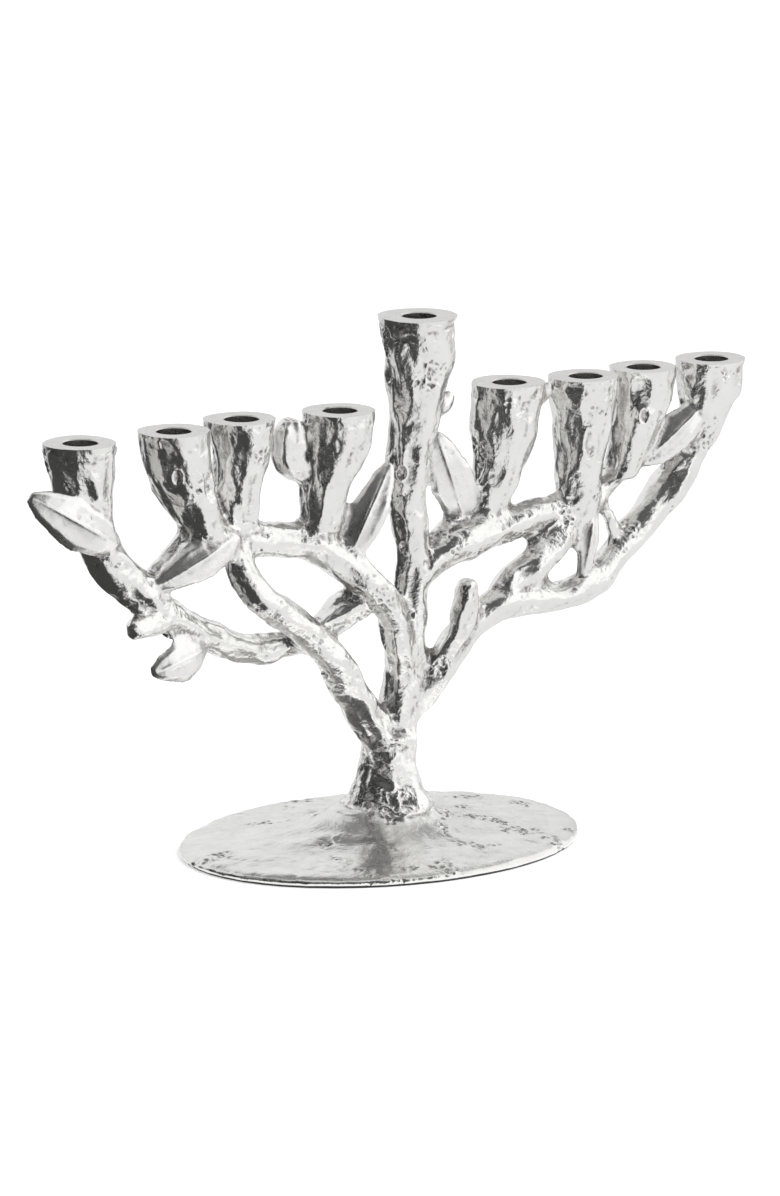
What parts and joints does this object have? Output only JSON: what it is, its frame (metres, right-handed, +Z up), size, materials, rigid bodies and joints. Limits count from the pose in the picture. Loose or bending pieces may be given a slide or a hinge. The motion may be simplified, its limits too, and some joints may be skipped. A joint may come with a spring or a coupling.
{
  "type": "menorah",
  "caption": "Cast metal menorah shaped as a small tree on an oval plate, with flared branch-end cups for taper candles in one row and a raised helper cup.",
  "frame": {"origin": "middle of the oval base on the table plane, under the felt pad", "axes": "+X along the row of cups towards the long right limb, +Y towards the back of the tree, +Z up along the candle holes"},
  "size_m": [0.3215, 0.1228, 0.1985],
  "materials": {
    "plate_nickel": "polished nickel plate over a hammered casting",
    "bark_nickel": "polished nickel plate over a bark-textured casting",
    "cup_nickel": "polished nickel plate, rims ground flat",
    "leaf_nickel": "smooth polished nickel plate",
    "felt": "short wool felt",
    "screw_steel": "zinc-plated steel",
    "washer_steel": "zinc-plated steel"
  },
  "bodies": {
    "root": {"felt_pad": "felt", "base_plate": "plate_nickel", "base_screw": "screw_steel", "base_washer": "washer_steel", "trunk": "bark_nickel", "center_stem": "bark_nickel", "limb_left_main": "bark_nickel", "limb_left_upper": "bark_nickel", "limb_left_cross": "bark_nickel", "limb_left_low": "bark_nickel", "twig_left_neck": "bark_nickel", "stub_left": "bark_nickel", "limb_right_upper": "bark_nickel", "limb_right_outer": "bark_nickel", "limb_right_inner": "bark_nickel", "limb_right_top": "bark_nickel", "twig_right_link": "bark_nickel", "twig_center_leaf": "bark_nickel", "stub_right": "bark_nickel", "cup_left_1": "cup_nickel", "cup_left_2": "cup_nickel", "cup_left_3": "cup_nickel", "cup_left_4": "cup_nickel", "cup_helper": "cup_nickel", "cup_right_1": "cup_nickel", "cup_right_2": "cup_nickel", "cup_right_3": "cup_nickel", "cup_right_4": "cup_nickel", "leaf_left_end": "leaf_nickel", "leaf_left_inner": "leaf_nickel", "leaf_left_low": "leaf_nickel", "leaf_stem_left": "leaf_nickel", "leaf_stem_right": "leaf_nickel", "leaf_right_top": "leaf_nickel", "leaf_right_hanging": "leaf_nickel", "bud_left": "leaf_nickel", "bud_helper": "leaf_nickel", "bud_right": "leaf_nickel"}
  },
  "joints": []
}
